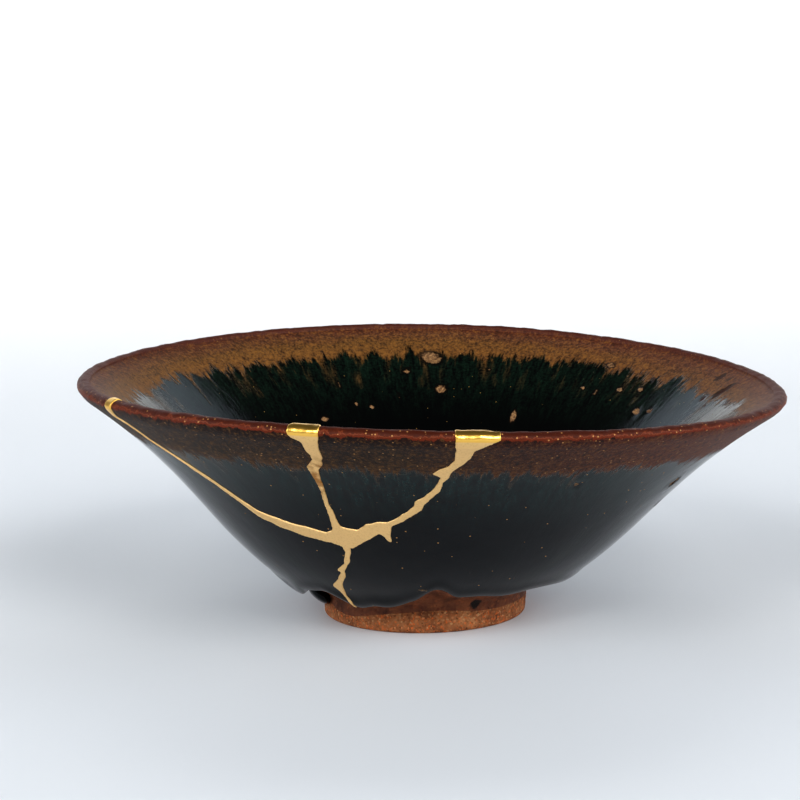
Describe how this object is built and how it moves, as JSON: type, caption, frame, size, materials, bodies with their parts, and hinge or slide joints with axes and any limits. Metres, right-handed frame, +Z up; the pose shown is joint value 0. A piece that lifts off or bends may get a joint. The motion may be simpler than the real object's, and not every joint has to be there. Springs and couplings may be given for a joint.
{
  "type": "tea bowl",
  "caption": "Shallow conical stoneware tea bowl with a dark iron glaze, a bare turned foot, and a broken rim mended with lacquer and gold.",
  "frame": {"origin": "on the table, at the centre of the underside of the whole bowl's bounding box, which is under the middle of the mouth", "axes": "+Z up out of the mouth, -Y towards the front, where the mended rim is, +X towards the lower side of the warped rim"},
  "size_m": [0.1256, 0.1256, 0.0447],
  "materials": {
    "glazed_stoneware": "glossy iron-black glaze with a rust-brown rim; the foot and the clay above it are bare orange-brown stoneware",
    "gold_lacquer": "gold powder on lacquer: satin on the walls, burnished bright over the lip"
  },
  "bodies": {
    "root": {"bowl_body": "glazed_stoneware", "left_sherd": "glazed_stoneware", "middle_sherd": "glazed_stoneware", "gold_seam": "gold_lacquer"}
  },
  "joints": []
}
